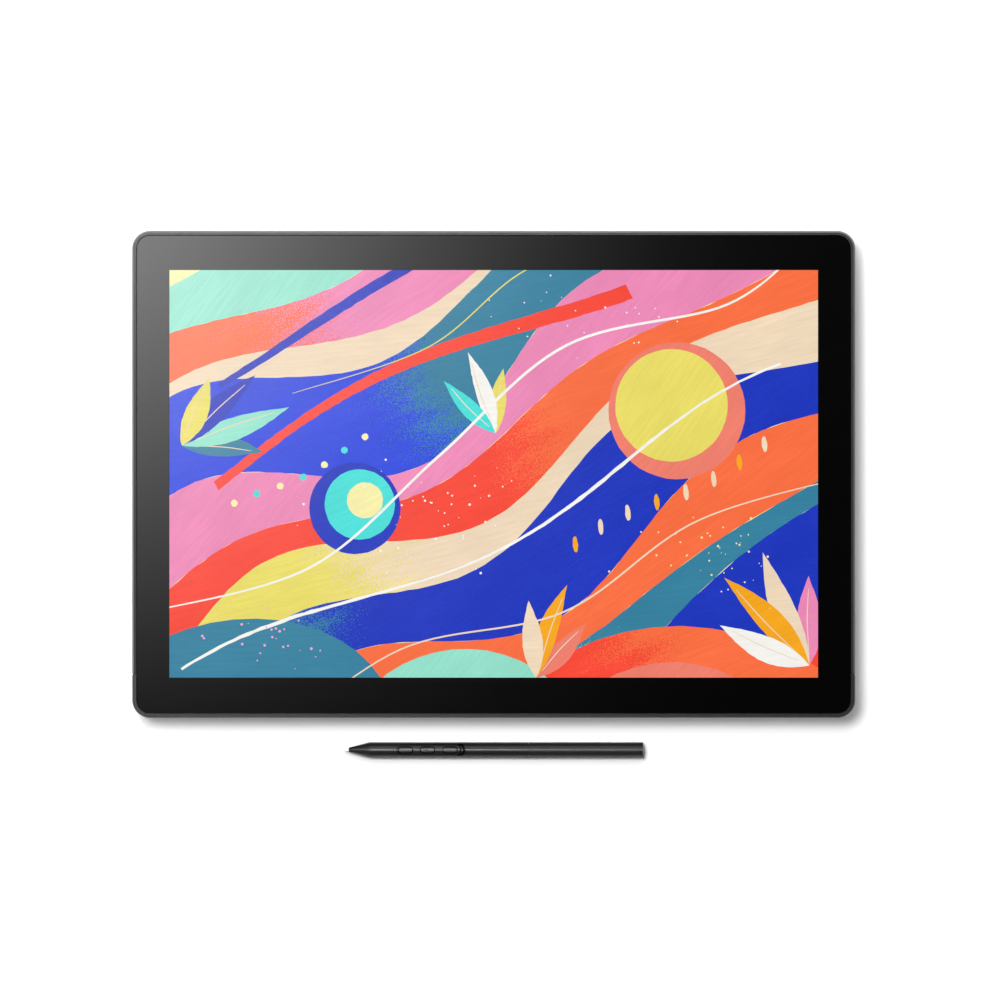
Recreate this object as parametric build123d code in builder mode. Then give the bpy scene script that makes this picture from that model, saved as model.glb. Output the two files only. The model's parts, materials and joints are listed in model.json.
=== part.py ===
from build123d import *
import os

# A slim pen display lying flat on a table, screen up, with its pen in front of it.
# Millimetres. +X is to the viewer's right, +Y is away from the viewer, +Z is up.
# The origin is on the table, under the middle of the whole set.

os.makedirs("parts", exist_ok=True)

# Outline from above
active_w = 344.6        # lit picture, a 16-inch panel of 16:10
active_d = 215.4
side_bezel = 19.2       # from the picture to the outline at the left and right
end_bezel = 21.3        # and at the near and far edges
body_r = 9.5            # corner radius of the outline
rim_w = 2.2             # rim that shows round the glass
glass_gap = 0.15        # between rim and glass
seam_inset = 23.0       # seam between frame and trim, from the near edge
seam_gap = 0.2
notch_w = 0.8           # small notch at each seam
notch_deep = 1.5
frame_bevel = 0.9
trim_bevel = 0.4

# Layers from the table up
foot_h = 1.2
cover_t = 2.0
bay_h = 9.3             # room for the electronics
chassis_t = 1.4
shield_t = 0.4
sensor_t = 0.8
tray_t = 0.5
guide_t = 2.0
film_t = 0.2
film_count = 3
cell_t = 1.2
bond_t = 0.3
glass_t = 1.1
rim_proud = 0.2         # rim stands above the glass

# Frame, trim and back cover
shelf_w = 10.0          # shelf under the glass
shelf_t = 2.0
window_r = 3.0
cover_wall = 2.0
base_round = 5.0        # rounding under the back cover
fit_gap = 0.3           # clearance between fixed pieces
edge_break = 0.25       # small chamfer on visible edges

# Display stack
cell_border = 3.0       # panel beyond the picture
driver_ledge = 2.5      # lower panel glass beyond the upper one
sheet_gap = 0.02        # air between optical films
tape_inset = 0.8
tray_wall = 0.6
sensor_margin = 1.5     # sensor board beyond the panel
led_count = 36
led_w = 3.0
led_deep = 0.8
led_board_t = 0.5

# Screws that hold the back cover, chassis and frame together
screw_inset = 9.2
screw_r = 1.25
screw_head_r = 2.2
screw_head_h = 1.3
screw_sink = 0.4        # head below the cover's face
screw_clear = 0.2
boss_r = 2.6
cover_boss_r = 3.8
thread_depth = 3.0

# Feet
foot_len = 46.0
foot_w = 9.0
foot_pocket = 0.8
foot_inset_x = 50.0
foot_inset_y = 14.0

# Mounting pattern on the back: four M4 inserts on a 75 mm square
mount_pitch = 75.0
insert_hole_r = 1.65
insert_r = 3.0
insert_len = 6.0
insert_wall = 2.2

# Vent slots
vent_count = 24
vent_pitch = 5.0
vent_w = 2.0
vent_len = 16.0
vent_inset = 26.0

# Folding legs
leg_spacing_share = 0.616   # distance between the legs, of the tablet's width
leg_w = 34.0
leg_t = 6.0
leg_reach = 80.0        # hinge axis to free end
leg_sink = 0.3
leg_round = 5.0
hinge_inset = 44.0      # hinge axis from the far edge
hinge_shoulder = 5.0    # full width of the leg starts here
knuckle_w = 20.0
pin_r = 1.6
pin_fit = 0.05
washer_t = 0.4
washer_r = 2.7
washer_gap = 0.05
ear_t = 3.0
ear_r = 2.9
bracket_t = 1.2
bracket_len = 16.0      # bracket plate along the leg
well_gap = 0.5          # clearance round a folded leg
well_wall = 1.5
finger_len = 9.0        # finger notch past the free end
pad_len = 10.0
bracket_screw_r = 1.0
bracket_head_r = 1.9
bracket_screw_len = 3.0
bracket_screw_inset = 3.5

# Main board and what is on it
board_w = 150.0
board_d = 60.0
board_t = 1.6
board_gap = 1.4         # air under the board
board_edge = 1.0        # board edge from the wall
board_screw_inset = 4.0
standoff_r = 2.6
chip_w = 20.0
chip_h = 1.2
chip_x = -30.0
chip_inset = 30.0       # chip centre from the board's far edge
pad_t = 1.0
spreader_w = 62.0
spreader_d = 34.0
spreader_t = 1.0
spreader_post_r = 1.5
small_chip_w = 9.0
small_chip_h = 1.0

# Sockets in the far wall
usb_x = (-62.0, -44.0)
usb_w = 8.94
usb_h = 3.2
usb_len = 7.4
hdmi_x = -20.0
hdmi_w = 15.0
hdmi_h = 5.5
hdmi_len = 11.0
shell_t = 0.35
tongue_t = 0.7
socket_recess = 0.5     # socket mouth behind the wall's face
socket_gap = 0.2

# Power button and status light
button_x = 50.0
button_w = 10.0
button_h = 3.2
button_travel = 0.4
button_fit = 0.15
button_flange = 1.0
button_flange_t = 0.8
switch_w = 6.0
switch_h = 3.4
switch_deep = 4.0
light_x = 63.0
light_r = 0.8
light_block = 1.6

# Sensor controller board
controller_w = 70.0
controller_d = 28.0
controller_t = 1.2
controller_inset = 36.0   # centre from the near edge
controller_drop = 2.5
plug_h = 1.5
plug_d = 5.0

# Ribbon cables
ribbon_t = 0.3
ribbon_w = 36.0
ribbon_x = 26.0         # display ribbon, from the middle
link_w = 16.0           # cable between the two boards
link_x = 18.0
ribbon_out = 3.2        # bend beyond the panel's edge
ribbon_land = 4.0       # length on the connector
bend_r = 1.0
ribbon_slot = 1.2       # clearance of the slots in the chassis

# Pen, along X with the nib to the left
pen_gap = 13.4          # between tablet and pen
pen_d = 8.1
pen_len = 160.0
nib_out = 2.9           # nib beyond the cone
nib_r = 0.85
nib_rod_r = 0.75
nib_len = 20.0
nib_travel = 0.6
cone_len = 11.1
cone_tip_r = 1.2
barrel_wall = 0.8
front_share = 0.529     # front barrel, of the pen's length
cap_side = 1.3          # end cap's side
cap_dome = 0.7
spigot_len = 5.0
thread_fit = 0.05
ring_gap = 0.15         # groove between barrels
bore_fit = 0.15         # nib in the cone

# Pen side switches
switch_start = 27.3     # switch plate from the nib's tip
plate_len = 35.6
plate_w = 5.8
plate_gap = 0.1
grip_gap = 0.8          # finger gap at the plate's rear end
key_starts = (29.2, 40.9, 52.9)
key_len = 7.8
key_w = 3.4
key_proud = 0.35
key_fit = 0.12
key_travel = 0.35
key_flange_w = 2.6
key_flange_t = 0.45
key_flange_out = 0.7
press_gap = 0.05        # rest clearance of keys and nib from what they press
dome_h = 0.8
dome_w = 2.4

# Inside the pen
coil_r = 2.6
coil_len = 8.0
coil_core_r = 1.2
sensor_can_len = 7.0
sensor_can_r = 2.7
pen_board_back = 7.6    # clear length behind the pen's board
pen_board_w = 5.8
pen_board_t = 1.0
pen_board_rise = 0.2    # board's lower face above the axis
carrier_fit = 0.05
weight_share = 0.35     # of the rear barrel's free length
weight_r = 3.1
spare_share = 0.467     # of the same length
spare_count = 3
holder_len = 6.0
spare_ring_r = 1.6
cap_plug_len = 3.0

# Heights
base_z = foot_h
floor_z = base_z + cover_t
chassis_z = floor_z + bay_h
split_z = chassis_z + chassis_t
sensor_z = split_z + shield_t
tray_z = sensor_z + sensor_t
guide_z = tray_z + tray_t
film_z = guide_z + guide_t
cell_z = film_z + film_count * film_t
bond_z = cell_z + cell_t
glass_z = bond_z + bond_t
top_z = glass_z + glass_t + rim_proud
shelf_z = bond_z - shelf_t

# Sizes that follow
body_w = active_w + 2 * side_bezel
body_d = active_d + 2 * end_bezel
tablet_y = (pen_gap + pen_d) / 2
near_y = tablet_y - body_d / 2
far_y = tablet_y + body_d / 2
pocket_w = body_w - 2 * rim_w
pocket_d = body_d - 2 * rim_w
pocket_r = body_r - rim_w
glass_w = pocket_w - 2 * glass_gap
glass_d = pocket_d - 2 * glass_gap
glass_r = pocket_r - glass_gap
window_w = pocket_w - 2 * shelf_w
window_d = pocket_d - 2 * shelf_w
cell_w = active_w + 2 * cell_border
cell_d = active_d + 2 * cell_border
cavity_w = body_w - 2 * cover_wall
cavity_d = body_d - 2 * cover_wall
cavity_r = body_r - cover_wall
screw_x = body_w / 2 - screw_inset
screw_y = body_d / 2 - screw_inset
middle_share = 0.5
screw_places = [
    (side_x * share, side_y)
    for side_x in (-screw_x, screw_x)
    for side_y in (-screw_y, screw_y)
    for share in (1, middle_share)
] + [(-screw_x, 0), (screw_x, 0)]


def level(height):
    """Plane parallel to the table, centred on the tablet."""
    return Plane(origin=(0, tablet_y, height))


def save(piece, name):
    """Label a finished piece and write it to its own file."""
    piece.part.label = name
    export_step(piece.part, f"parts/{name}.step")


# Cover glass and the layers that bond it

with BuildPart() as cover_glass:
    with BuildSketch(level(glass_z)):
        RectangleRounded(glass_w, glass_d, glass_r)
    extrude(amount=glass_t)
    chamfer(cover_glass.edges().group_by(Axis.Z)[-1], edge_break)
save(cover_glass, "cover_glass")

with BuildPart() as glass_tape:
    with BuildSketch(level(bond_z)):
        RectangleRounded(glass_w - 2 * tape_inset, glass_d - 2 * tape_inset, glass_r - tape_inset)
        RectangleRounded(window_w + 2 * tape_inset, window_d + 2 * tape_inset, window_r, mode=Mode.SUBTRACT)
    extrude(amount=bond_t)
save(glass_tape, "glass_tape")

with BuildPart() as bonding_film:
    with BuildSketch(level(bond_z)):
        Rectangle(cell_w - 2 * tape_inset, cell_d - 2 * driver_ledge)
    extrude(amount=bond_t)
save(bonding_film, "bonding_film")

# Display panel: the lower sheet keeps a ledge at the far edge for its drivers

with BuildPart() as display_cell:
    with BuildSketch(level(cell_z)):
        Rectangle(cell_w, cell_d)
    extrude(amount=cell_t / 2)
    with BuildSketch(level(cell_z + cell_t / 2)):
        with Locations((0, -driver_ledge / 2)):
            Rectangle(cell_w, cell_d - driver_ledge)
    extrude(amount=cell_t / 2)
save(display_cell, "display_cell")

# Backlight

tray_inner_w = cell_w - 2 * tray_wall
tray_inner_d = cell_d - 2 * tray_wall
led_near = -tray_inner_d / 2
guide_near = led_near + led_board_t + led_deep + fit_gap
guide_d = tray_inner_d / 2 - fit_gap - guide_near
guide_mid = guide_near + guide_d / 2
guide_w = tray_inner_w - 2 * fit_gap

with BuildPart() as backlight_tray:
    with BuildSketch(level(tray_z)):
        Rectangle(cell_w, cell_d)
    extrude(amount=cell_z - tray_z)
    with BuildSketch(level(guide_z)):
        Rectangle(tray_inner_w, tray_inner_d)
    extrude(amount=cell_z - guide_z, mode=Mode.SUBTRACT)
save(backlight_tray, "backlight_tray")

with BuildPart() as light_guide:
    with BuildSketch(level(guide_z)):
        with Locations((0, guide_mid)):
            Rectangle(guide_w, guide_d)
    extrude(amount=guide_t)
save(light_guide, "light_guide")

with BuildPart() as optical_films:
    for sheet in range(film_count):
        with BuildSketch(level(film_z + sheet * film_t)):
            with Locations((0, guide_mid)):
                Rectangle(guide_w, guide_d)
        extrude(amount=film_t - sheet_gap)
save(optical_films, "optical_films")

with BuildPart() as led_strip:
    with BuildSketch(level(guide_z)):
        with Locations((0, led_near + led_board_t / 2)):
            Rectangle(active_w, led_board_t)
    extrude(amount=guide_t)
save(led_strip, "led_strip")

with BuildPart() as leds:
    with BuildSketch(level(guide_z)):
        with Locations((0, led_near + led_board_t + led_deep / 2)):
            with GridLocations(active_w / led_count, 0, led_count, 1):
                Rectangle(led_w, led_deep)
    extrude(amount=guide_t)
save(leds, "leds")

# Pen sensor board and its shield under the backlight

sensor_w = cell_w + 2 * sensor_margin
sensor_d = cell_d + 2 * sensor_margin

with BuildPart() as sensor_board:
    with BuildSketch(level(sensor_z)):
        Rectangle(sensor_w, sensor_d)
    extrude(amount=sensor_t)
save(sensor_board, "sensor_board")

with BuildPart() as shield_plate:
    with BuildSketch(level(split_z)):
        RectangleRounded(sensor_w, sensor_d, window_r)
    extrude(amount=shield_t)
save(shield_plate, "shield_plate")

# Frame and trim: one ring in section, parted at the two seams

seam_y = near_y + seam_inset
seam_local = seam_y - tablet_y


def rim_ring(bevel):
    """Rim, wall and glass shelf all round, with the bosses that take the cover's screws."""
    with BuildPart() as ring:
        with BuildSketch(level(split_z)):
            RectangleRounded(body_w, body_d, body_r)
        extrude(amount=top_z - split_z)
        chamfer(ring.edges().group_by(Axis.Z)[-1], bevel)
        with BuildSketch(level(bond_z)):
            RectangleRounded(pocket_w, pocket_d, pocket_r)
        extrude(amount=top_z - bond_z, mode=Mode.SUBTRACT)
        with BuildSketch(level(split_z)):
            RectangleRounded(pocket_w, pocket_d, pocket_r)
        extrude(amount=shelf_z - split_z, mode=Mode.SUBTRACT)
        with BuildSketch(level(shelf_z)):
            RectangleRounded(window_w, window_d, window_r)
        extrude(amount=shelf_t, mode=Mode.SUBTRACT)
        with BuildSketch(level(split_z)):
            with Locations(*screw_places):
                Circle(boss_r)
        extrude(amount=shelf_z - split_z)
        with BuildSketch(level(split_z)):
            with Locations(*screw_places):
                Circle(screw_r)
        extrude(amount=thread_depth, mode=Mode.SUBTRACT)
        with BuildSketch(level(split_z)):
            Polygon(
                (body_w / 2, seam_local - notch_w / 2),
                (body_w / 2, seam_local + notch_w / 2),
                (body_w / 2 - notch_deep, seam_local),
                align=None,
            )
            mirror(about=Plane.YZ)
        extrude(amount=top_z - split_z, mode=Mode.SUBTRACT)
    return ring.part


with BuildPart() as front_frame:
    add(rim_ring(frame_bevel))
    split(bisect_by=Plane(origin=(0, seam_y + seam_gap / 2, 0), z_dir=(0, 1, 0)), keep=Keep.TOP)
save(front_frame, "front_frame")

with BuildPart() as bottom_trim:
    add(rim_ring(trim_bevel))
    split(bisect_by=Plane(origin=(0, seam_y - seam_gap / 2, 0), z_dir=(0, -1, 0)), keep=Keep.TOP)
save(bottom_trim, "bottom_trim")

# Folding legs: places shared by the cover, the brackets and the legs

leg_side = leg_spacing_share * body_w / 2
leg_places = (-leg_side, leg_side)
hinge_y = far_y - hinge_inset
hinge_z = base_z + leg_sink + leg_t / 2
well_w = leg_w + 2 * well_gap
well_far = hinge_y + leg_t / 2 + well_gap
well_near = hinge_y - leg_reach - finger_len
well_d = well_far - well_near
well_mid = (well_far + well_near) / 2
bracket_z = hinge_z + leg_t / 2 + well_gap
well_top = bracket_z + bracket_t
ear_inner = knuckle_w / 2 + washer_t + 2 * washer_gap
ear_outer = ear_inner + ear_t
bracket_far = well_far - fit_gap
bracket_near = bracket_far - bracket_len
bracket_mid = (bracket_far + bracket_near) / 2
bracket_screw_y = bracket_near + bracket_screw_inset
bracket_screw_x = ear_outer - bracket_screw_inset
bracket_screw_places = [
    (leg_x + side * bracket_screw_x, bracket_screw_y) for leg_x in leg_places for side in (-1, 1)
]

# Back cover

board_z = floor_z + board_gap
board_top = board_z + board_t
board_far = far_y - cover_wall - board_edge
board_mid = board_far - board_d / 2
usb_z = board_top + usb_h / 2
hdmi_z = board_top + hdmi_h / 2
button_z = board_top + switch_h / 2
foot_places = [
    (side_x * (body_w / 2 - foot_inset_x), side_y * (body_d / 2 - foot_inset_y))
    for side_x in (-1, 1)
    for side_y in (-1, 1)
]
far_face = Plane(origin=(0, far_y, 0), x_dir=(1, 0, 0), z_dir=(0, -1, 0))

with BuildPart() as cover_cavity:
    with BuildSketch(level(floor_z)):
        RectangleRounded(cavity_w, cavity_d, cavity_r)
    extrude(amount=split_z - floor_z)
    fillet(cover_cavity.edges().group_by(Axis.Z)[0], base_round - cover_wall)

with BuildPart() as rear_cover:
    with BuildSketch(level(base_z)):
        RectangleRounded(body_w, body_d, body_r)
    extrude(amount=split_z - base_z)
    fillet(rear_cover.edges().group_by(Axis.Z)[0], base_round)
    add(cover_cavity.part, mode=Mode.SUBTRACT)
    # Walls of the leg wells
    with BuildSketch(Plane(origin=(0, well_mid, base_z))):
        with Locations(*[(leg_x, 0) for leg_x in leg_places]):
            Rectangle(well_w + 2 * well_wall, well_d + 2 * well_wall)
    extrude(amount=well_top + well_wall - base_z)
    # Bosses for the mounting inserts and for the cover's screws
    with BuildSketch(level(base_z)):
        with GridLocations(mount_pitch, mount_pitch, 2, 2):
            Circle(insert_r + insert_wall)
    extrude(amount=insert_len + insert_wall)
    with BuildSketch(level(base_z)):
        with Locations(*screw_places):
            Circle(cover_boss_r)
    extrude(amount=chassis_z - base_z)
    # Bosses over the bracket screws
    with BuildSketch(Plane(origin=(0, 0, well_top))):
        with Locations(*bracket_screw_places):
            Circle(bracket_head_r)
    extrude(amount=bracket_screw_len)
    # Openings from below: wells, inserts, screws, feet and vents
    with BuildSketch(Plane(origin=(0, well_mid, base_z))):
        with Locations(*[(leg_x, 0) for leg_x in leg_places]):
            Rectangle(well_w, well_d)
    extrude(amount=well_top - base_z, mode=Mode.SUBTRACT)
    with BuildSketch(level(base_z)):
        with GridLocations(mount_pitch, mount_pitch, 2, 2):
            Circle(insert_r)
    extrude(amount=insert_len, mode=Mode.SUBTRACT)
    with BuildSketch(level(base_z)):
        with Locations(*screw_places):
            Circle(screw_r + screw_clear)
    extrude(amount=chassis_z - base_z, mode=Mode.SUBTRACT)
    with BuildSketch(level(base_z)):
        with Locations(*screw_places):
            Circle(screw_head_r + screw_clear)
    extrude(amount=screw_sink + screw_head_h, mode=Mode.SUBTRACT)
    with BuildSketch(level(base_z)):
        with Locations(*foot_places):
            SlotOverall(foot_len, foot_w)
    extrude(amount=foot_pocket, mode=Mode.SUBTRACT)
    with BuildSketch(level(base_z)):
        with Locations((0, body_d / 2 - vent_inset)):
            with GridLocations(vent_pitch, 0, vent_count, 1):
                SlotOverall(vent_len, vent_w, rotation=90)
    extrude(amount=cover_t, mode=Mode.SUBTRACT)
    with BuildSketch(Plane(origin=(0, 0, well_top))):
        with Locations(*bracket_screw_places):
            Circle(bracket_screw_r)
    extrude(amount=bracket_screw_len - bracket_t, mode=Mode.SUBTRACT)
    # Sockets, button and light in the far wall
    with BuildSketch(far_face):
        with Locations(*[(x, usb_z) for x in usb_x]):
            SlotOverall(usb_w + 2 * socket_gap, usb_h + 2 * socket_gap)
        with Locations((hdmi_x, hdmi_z)):
            Rectangle(hdmi_w + 2 * socket_gap, hdmi_h + 2 * socket_gap)
        with Locations((button_x, button_z)):
            SlotOverall(button_w + 2 * button_fit, button_h + 2 * button_fit)
        with Locations((light_x, button_z)):
            Circle(light_r)
    extrude(amount=cover_wall, mode=Mode.SUBTRACT)
save(rear_cover, "rear_cover")

with BuildPart() as mounting_inserts:
    with BuildSketch(level(base_z)):
        with GridLocations(mount_pitch, mount_pitch, 2, 2):
            Circle(insert_r)
            Circle(insert_hole_r, mode=Mode.SUBTRACT)
    extrude(amount=insert_len)
save(mounting_inserts, "mounting_inserts")

with BuildPart() as cover_screws:
    with BuildSketch(level(base_z + screw_sink)):
        with Locations(*screw_places):
            Circle(screw_head_r)
    extrude(amount=screw_head_h)
    with BuildSketch(level(base_z + screw_sink)):
        with Locations(*screw_places):
            RegularPolygon(screw_r, 6)
    extrude(amount=screw_head_h / 2, mode=Mode.SUBTRACT)
    with BuildSketch(level(base_z + screw_sink + screw_head_h)):
        with Locations(*screw_places):
            Circle(screw_r)
    extrude(amount=split_z + thread_depth - base_z - screw_sink - screw_head_h)
save(cover_screws, "cover_screws")

with BuildPart() as rubber_feet:
    with BuildSketch(level(0)):
        with Locations(*foot_places):
            SlotOverall(foot_len, foot_w)
    extrude(amount=foot_h + foot_pocket)
    chamfer(rubber_feet.edges().group_by(Axis.Z)[0], edge_break)
save(rubber_feet, "rubber_feet")

# Chassis plate, with posts that carry the two boards

controller_y = near_y + controller_inset
controller_z = chassis_z - controller_drop - controller_t
panel_far = tablet_y + cell_d / 2
panel_near = tablet_y - cell_d / 2
ribbon_y = panel_far + ribbon_out
tail_y = panel_near - ribbon_out
board_screw_places = [
    (side * (board_w / 2 - board_screw_inset), row)
    for side in (-1, 0, 1)
    for row in (board_far - board_screw_inset, board_far - board_d + board_screw_inset)
]
controller_screw_x = controller_w / 2 - board_screw_inset
controller_screw_y = controller_d / 2 - board_screw_inset
controller_screw_places = [
    (side_x * controller_screw_x, controller_y + side_y * controller_screw_y)
    for side_x in (-1, 1)
    for side_y in (-1, 1)
]

with BuildPart() as chassis:
    with BuildSketch(level(chassis_z)):
        RectangleRounded(cavity_w - 2 * fit_gap, cavity_d - 2 * fit_gap, cavity_r - fit_gap)
        with Locations(*screw_places):
            Circle(screw_r + screw_clear, mode=Mode.SUBTRACT)
    extrude(amount=chassis_t)
    with BuildSketch(Plane.XY.offset(chassis_z)):
        with Locations((ribbon_x, ribbon_y), (0, tail_y)):
            Rectangle(ribbon_w + 2 * ribbon_slot, ribbon_t + 2 * ribbon_slot)
    extrude(amount=chassis_t, mode=Mode.SUBTRACT)
    with BuildSketch(Plane.XY.offset(board_top)):
        with Locations(*board_screw_places):
            Circle(standoff_r)
    extrude(amount=chassis_z - board_top)
    with BuildSketch(Plane.XY.offset(controller_z + controller_t)):
        with Locations(*controller_screw_places):
            Circle(standoff_r)
    extrude(amount=controller_drop)
    with BuildSketch(Plane.XY.offset(controller_z + controller_t)):
        with Locations(*controller_screw_places):
            Circle(screw_r)
    extrude(amount=controller_drop, mode=Mode.SUBTRACT)
    with BuildSketch(Plane.XY.offset(board_top)):
        with Locations(*board_screw_places):
            Circle(screw_r)
    extrude(amount=thread_depth, mode=Mode.SUBTRACT)
save(chassis, "chassis")

# Main board, its screws and its parts

with BuildPart() as main_board:
    with BuildSketch(Plane.XY.offset(board_z)):
        with Locations((0, board_mid)):
            Rectangle(board_w, board_d)
        with Locations(*board_screw_places):
            Circle(screw_r, mode=Mode.SUBTRACT)
    extrude(amount=board_t)
save(main_board, "main_board")

with BuildPart() as board_screws:
    with BuildSketch(Plane.XY.offset(board_z - board_gap / 2)):
        with Locations(*board_screw_places):
            Circle(screw_head_r)
    extrude(amount=board_gap / 2)
    with BuildSketch(Plane.XY.offset(controller_z - board_gap / 2)):
        with Locations(*controller_screw_places):
            Circle(screw_head_r)
    extrude(amount=board_gap / 2)
    with BuildSketch(Plane.XY.offset(board_z)):
        with Locations(*board_screw_places):
            Circle(screw_r)
    extrude(amount=board_t + thread_depth)
    with BuildSketch(Plane.XY.offset(controller_z)):
        with Locations(*controller_screw_places):
            Circle(screw_r)
    extrude(amount=controller_t + controller_drop)
save(board_screws, "board_screws")

chip_y = board_far - chip_inset
chip_shares = ((-1.5, -0.6), (-1.5, 0.6), (1.5, 0.6))
memory_places = [(chip_x + sx * small_chip_w, chip_y + sy * small_chip_w) for sx, sy in chip_shares]

with BuildPart() as main_chip:
    with BuildSketch(Plane.XY.offset(board_top)):
        with Locations((chip_x, chip_y)):
            Rectangle(chip_w, chip_w)
    extrude(amount=chip_h)
save(main_chip, "main_chip")

with BuildPart() as thermal_pad:
    with BuildSketch(Plane.XY.offset(board_top + chip_h)):
        with Locations((chip_x, chip_y)):
            Rectangle(chip_w, chip_w)
    extrude(amount=pad_t)
save(thermal_pad, "thermal_pad")

spreader_z = board_top + chip_h + pad_t
spreader_post_x = spreader_w / 2 - 2 * spreader_post_r
spreader_post_y = spreader_d / 2 - 2 * spreader_post_r

with BuildPart() as heat_spreader:
    with BuildSketch(Plane.XY.offset(spreader_z)):
        with Locations((chip_x, chip_y)):
            RectangleRounded(spreader_w, spreader_d, spreader_post_r)
    extrude(amount=spreader_t)
    with BuildSketch(Plane.XY.offset(board_top)):
        with Locations((chip_x, chip_y)):
            with GridLocations(2 * spreader_post_x, 2 * spreader_post_y, 2, 2):
                Circle(spreader_post_r)
    extrude(amount=spreader_z - board_top)
save(heat_spreader, "heat_spreader")

with BuildPart() as small_chips:
    with BuildSketch(Plane.XY.offset(board_top)):
        with Locations(*memory_places):
            Rectangle(small_chip_w / 2, small_chip_w)
        with Locations((button_x, chip_y - small_chip_w)):
            with GridLocations(2 * small_chip_w, 0, 2, 1):
                Rectangle(small_chip_w, small_chip_w)
    extrude(amount=small_chip_h)
    with BuildSketch(Plane.XY.offset(controller_z - small_chip_h)):
        with Locations((0, controller_y)):
            with GridLocations(2 * small_chip_w, 0, 3, 1):
                Rectangle(small_chip_w, small_chip_w)
    extrude(amount=small_chip_h)
save(small_chips, "small_chips")

with BuildPart() as controller_board:
    with BuildSketch(Plane.XY.offset(controller_z)):
        with Locations((0, controller_y)):
            Rectangle(controller_w, controller_d)
        with Locations(*controller_screw_places):
            Circle(screw_r, mode=Mode.SUBTRACT)
    extrude(amount=controller_t)
save(controller_board, "controller_board")

# Sockets: metal shells with a contact tongue inside

usb_mouth = far_y - socket_recess
side_plane = Plane(origin=(0, usb_mouth, 0), x_dir=(1, 0, 0), z_dir=(0, -1, 0))

with BuildPart() as usb_shells:
    with BuildSketch(side_plane):
        with Locations(*[(x, usb_z) for x in usb_x]):
            SlotOverall(usb_w, usb_h)
    extrude(amount=usb_len)
    with BuildSketch(side_plane):
        with Locations(*[(x, usb_z) for x in usb_x]):
            SlotOverall(usb_w - 2 * shell_t, usb_h - 2 * shell_t)
    extrude(amount=usb_len - shell_t, mode=Mode.SUBTRACT)
save(usb_shells, "usb_shells")

with BuildPart() as hdmi_shell:
    with BuildSketch(side_plane):
        with Locations((hdmi_x, hdmi_z)):
            Rectangle(hdmi_w, hdmi_h)
    extrude(amount=hdmi_len)
    with BuildSketch(side_plane):
        with Locations((hdmi_x, hdmi_z)):
            Rectangle(hdmi_w - 2 * shell_t, hdmi_h - 2 * shell_t)
    extrude(amount=hdmi_len - shell_t, mode=Mode.SUBTRACT)
save(hdmi_shell, "hdmi_shell")

with BuildPart() as socket_tongues:
    with BuildSketch(side_plane.offset(socket_recess)):
        with Locations(*[(x, usb_z) for x in usb_x]):
            Rectangle(usb_w - usb_h, tongue_t)
    extrude(amount=usb_len - shell_t - socket_recess)
    with BuildSketch(side_plane.offset(socket_recess)):
        with Locations((hdmi_x, hdmi_z)):
            Rectangle(hdmi_w - hdmi_h / 2, tongue_t)
    extrude(amount=hdmi_len - shell_t - socket_recess)
save(socket_tongues, "socket_tongues")

# Power button, its switch and the status light

flange_y = cover_wall + button_fit
stem_end = flange_y + button_flange_t + button_travel

with BuildPart() as power_button:
    with BuildSketch(far_face):
        with Locations((button_x, button_z)):
            SlotOverall(button_w, button_h)
    extrude(amount=flange_y)
    chamfer(power_button.edges().group_by(Axis.Y)[-1], edge_break)
    with BuildSketch(far_face.offset(flange_y)):
        with Locations((button_x, button_z)):
            SlotOverall(button_w + 2 * button_flange, button_h)
    extrude(amount=button_flange_t)
save(power_button, "power_button")

with BuildPart() as power_switch:
    with BuildSketch(far_face.offset(stem_end + button_fit)):
        with Locations((button_x, button_z)):
            Rectangle(switch_w, switch_h)
    extrude(amount=switch_deep)
save(power_switch, "power_switch")

with BuildPart() as light_pipe:
    with BuildSketch(far_face):
        with Locations((light_x, button_z)):
            Circle(light_r)
    extrude(amount=cover_wall + board_edge + light_block)
    with BuildSketch(far_face.offset(cover_wall + board_edge)):
        with Locations((light_x, (board_top + button_z + light_r) / 2)):
            Rectangle(2 * light_block, button_z + light_r - board_top)
    extrude(amount=light_block)
save(light_pipe, "light_pipe")

# Ribbon cables, bent in the YZ plane, and the plugs that take them


def ribbon(middle_x, width, *points):
    """A flat cable that follows the points in the YZ plane."""
    with BuildPart() as strip:
        with BuildSketch(Plane(origin=(middle_x - width / 2, 0, 0), x_dir=(0, 1, 0), z_dir=(1, 0, 0))):
            with BuildLine():
                FilletPolyline(*points, radius=bend_r)
            trace(line_width=ribbon_t)
        extrude(amount=width)
    return strip


ledge_z = cell_z + cell_t / 2 + ribbon_t / 2
board_land_z = board_top + plug_h + ribbon_t / 2
tail_z = tray_z + ribbon_t / 2
controller_land_z = controller_z - plug_h - ribbon_t / 2
display_plug_y = ribbon_y - ribbon_out - 2 * ribbon_land
tail_plug_y = controller_y - controller_d / 2 + plug_d / 2
link_start = controller_y + controller_d / 2 - plug_d / 2
link_end = board_far - board_d + plug_d / 2

display_ribbon = ribbon(
    ribbon_x,
    ribbon_w,
    (panel_far - driver_ledge + sheet_gap, ledge_z),
    (ribbon_y, ledge_z),
    (ribbon_y, board_land_z),
    (display_plug_y - plug_d / 2, board_land_z),
)
save(display_ribbon, "display_ribbon")

sensor_ribbon = ribbon(
    0,
    ribbon_w,
    (panel_near - sheet_gap, tail_z),
    (tail_y, tail_z),
    (tail_y, controller_land_z),
    (tail_plug_y + plug_d / 2, controller_land_z),
)
save(sensor_ribbon, "sensor_ribbon")

link_ribbon = ribbon(
    link_x,
    link_w,
    (link_start - plug_d / 2, controller_land_z),
    (link_start + plug_d, controller_land_z),
    (link_end - plug_d, board_land_z),
    (link_end + plug_d / 2, board_land_z),
)
save(link_ribbon, "link_ribbon")

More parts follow.
